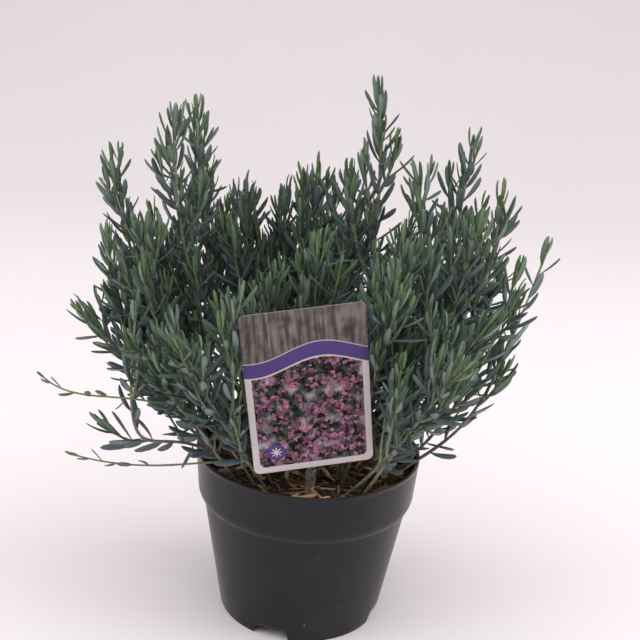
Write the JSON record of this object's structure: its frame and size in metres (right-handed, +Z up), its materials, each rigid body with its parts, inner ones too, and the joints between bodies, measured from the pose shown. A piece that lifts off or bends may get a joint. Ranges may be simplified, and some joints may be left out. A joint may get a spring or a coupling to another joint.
{
  "type": "potted bog rosemary",
  "caption": "Evergreen bog rosemary shrub with narrow blue-green leaves in a round nursery pot, with bark mulch and a plant label on a stake.",
  "frame": {"origin": "on the floor under the centre of the whole plant, within 1 mm of the pot's axis", "axes": "+Z up, the longest extent; -Y towards the front, where the label is; +X to the right in the front view"},
  "size_m": [0.3148, 0.2237, 0.372],
  "materials": {
    "pot": "satin, moulded",
    "mulch": "rough bark and peat",
    "label_card": "printed, semi-gloss",
    "clear_stake": "clear, smooth",
    "foliage": "matt, waxy bloom"
  },
  "bodies": {
    "root": {"pot": "pot", "soil": "mulch", "label_card": "label_card", "label_stake": "clear_stake", "stem_tall_right": "foliage", "stem_tall_inner": "foliage", "stem_right_upper": "foliage", "stem_right_high": "foliage", "stem_right_side": "foliage", "stem_right_low": "foliage", "stem_right_inner": "foliage", "stem_front_right": "foliage", "stem_front_mid": "foliage", "stem_left_high": "foliage", "stem_left_crown": "foliage", "stem_left_crown_back": "foliage", "stem_left_mid": "foliage", "stem_mid_left": "foliage", "stem_mid_back": "foliage", "stem_mid_right": "foliage", "stem_left_side": "foliage", "stem_left_out": "foliage", "stem_left_low": "foliage", "stem_left_rise": "foliage", "stem_trail_low": "foliage", "stem_trail_high": "foliage", "stem_back_1": "foliage", "stem_back_2": "foliage", "stem_back_3": "foliage", "stem_back_4": "foliage", "stem_back_5": "foliage", "stem_back_6": "foliage", "stem_back_7": "foliage", "stem_back_8": "foliage", "stem_back_9": "foliage", "stem_back_10": "foliage", "stem_back_11": "foliage", "stem_front_1": "foliage", "stem_front_2": "foliage", "stem_front_3": "foliage", "stem_front_4": "foliage", "stem_front_5": "foliage", "stem_front_6": "foliage", "stem_behind_label_1": "foliage", "stem_behind_label_2": "foliage"}
  },
  "joints": []
}
